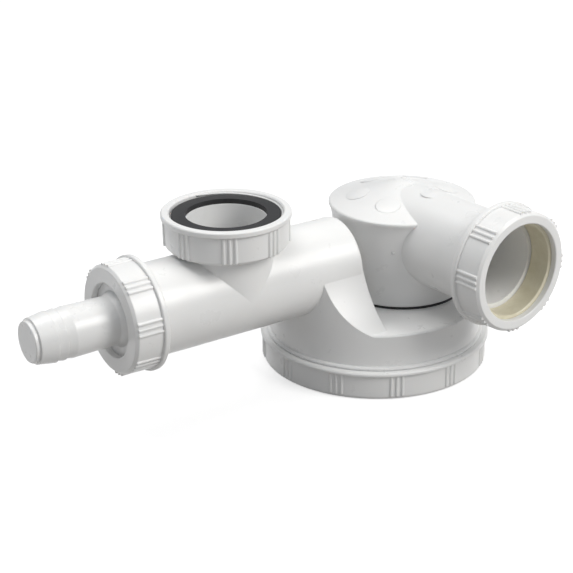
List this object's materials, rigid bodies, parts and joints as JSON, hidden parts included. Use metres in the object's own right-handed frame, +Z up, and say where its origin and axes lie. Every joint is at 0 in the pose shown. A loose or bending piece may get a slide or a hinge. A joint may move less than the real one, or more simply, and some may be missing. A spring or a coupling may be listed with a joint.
{
  "type": "low-profile sink trap",
  "caption": "Shallow sink trap with a screwed round bowl, a side arm with a tee for the sink waste and a barbed hose tail, and a swivelling drum with a compression outlet.",
  "frame": {"origin": "bowl axis at the flat underside of the base cap", "axes": "+Z up along the bowl axis; the inlet arm runs along -X to the hose tail; the outlet points near -Y at rest"},
  "size_m": [0.2264, 0.1297, 0.087],
  "materials": {
    "white_plastic": "satin moulded polypropylene",
    "black_rubber": "matt",
    "grey_rubber": "matt",
    "cream_rubber": "matt"
  },
  "bodies": {
    "trap": {"trap_body": "white_plastic", "waste_washer": "black_rubber", "drum_seal": "black_rubber"},
    "cap_seal": {"base_seal": "grey_rubber"},
    "cap": {"base_cap": "white_plastic"},
    "drum": {"outlet_drum": "white_plastic"},
    "pipe_seal": {"outlet_seal": "cream_rubber"},
    "pipe_nut": {"outlet_nut": "white_plastic"},
    "tail": {"hose_tail": "white_plastic", "hose_seal": "grey_rubber"},
    "tail_nut": {"hose_nut": "white_plastic"},
    "inlet_nut": {"waste_nut": "white_plastic"}
  },
  "joints": [
    {"name": "cap_travel", "type": "slide", "parent": "trap", "child": "cap_seal", "axis": [0, 0, -1], "range_m": [0, 0.0075]},
    {"name": "cap_turn", "type": "hinge", "parent": "cap_seal", "child": "cap", "pos_m": [0, 0, 0.0065], "axis": [0, 0, -1], "range_deg": [0, 900]},
    {"name": "drum_swivel", "type": "hinge", "parent": "trap", "child": "drum", "pos_m": [0.0149, 0, 0.0292], "axis": [0, 0, 1], "range_deg": [-31, 201]},
    {"name": "pipe_nut_travel", "type": "slide", "parent": "drum", "child": "pipe_seal", "axis": [0.0872, -0.9962, 0], "range_m": [0, 0.00924]},
    {"name": "pipe_nut_turn", "type": "hinge", "parent": "pipe_seal", "child": "pipe_nut", "pos_m": [0.02074, -0.06675, 0.0592], "axis": [0.0872, -0.9962, 0], "range_deg": [0, 1440]},
    {"name": "tail_nut_travel", "type": "slide", "parent": "trap", "child": "tail", "axis": [-1, 0, 0], "range_m": [0, 0.00693]},
    {"name": "tail_nut_turn", "type": "hinge", "parent": "tail", "child": "tail_nut", "pos_m": [-0.13, 0, 0.0505], "axis": [-1, 0, 0], "range_deg": [0, 1080]},
    {"name": "inlet_nut_turn", "type": "hinge", "parent": "trap", "child": "inlet_nut", "pos_m": [-0.079, 0, 0.079], "axis": [0, 0, 1], "continuous": true}
  ],
  "couplings": [
    {"joint": "cap_travel", "follows": "cap_turn", "m_per_rad": 0.00047746},
    {"joint": "pipe_nut_travel", "follows": "pipe_nut_turn", "m_per_rad": 0.00036749},
    {"joint": "tail_nut_travel", "follows": "tail_nut_turn", "m_per_rad": 0.00036749}
  ]
}
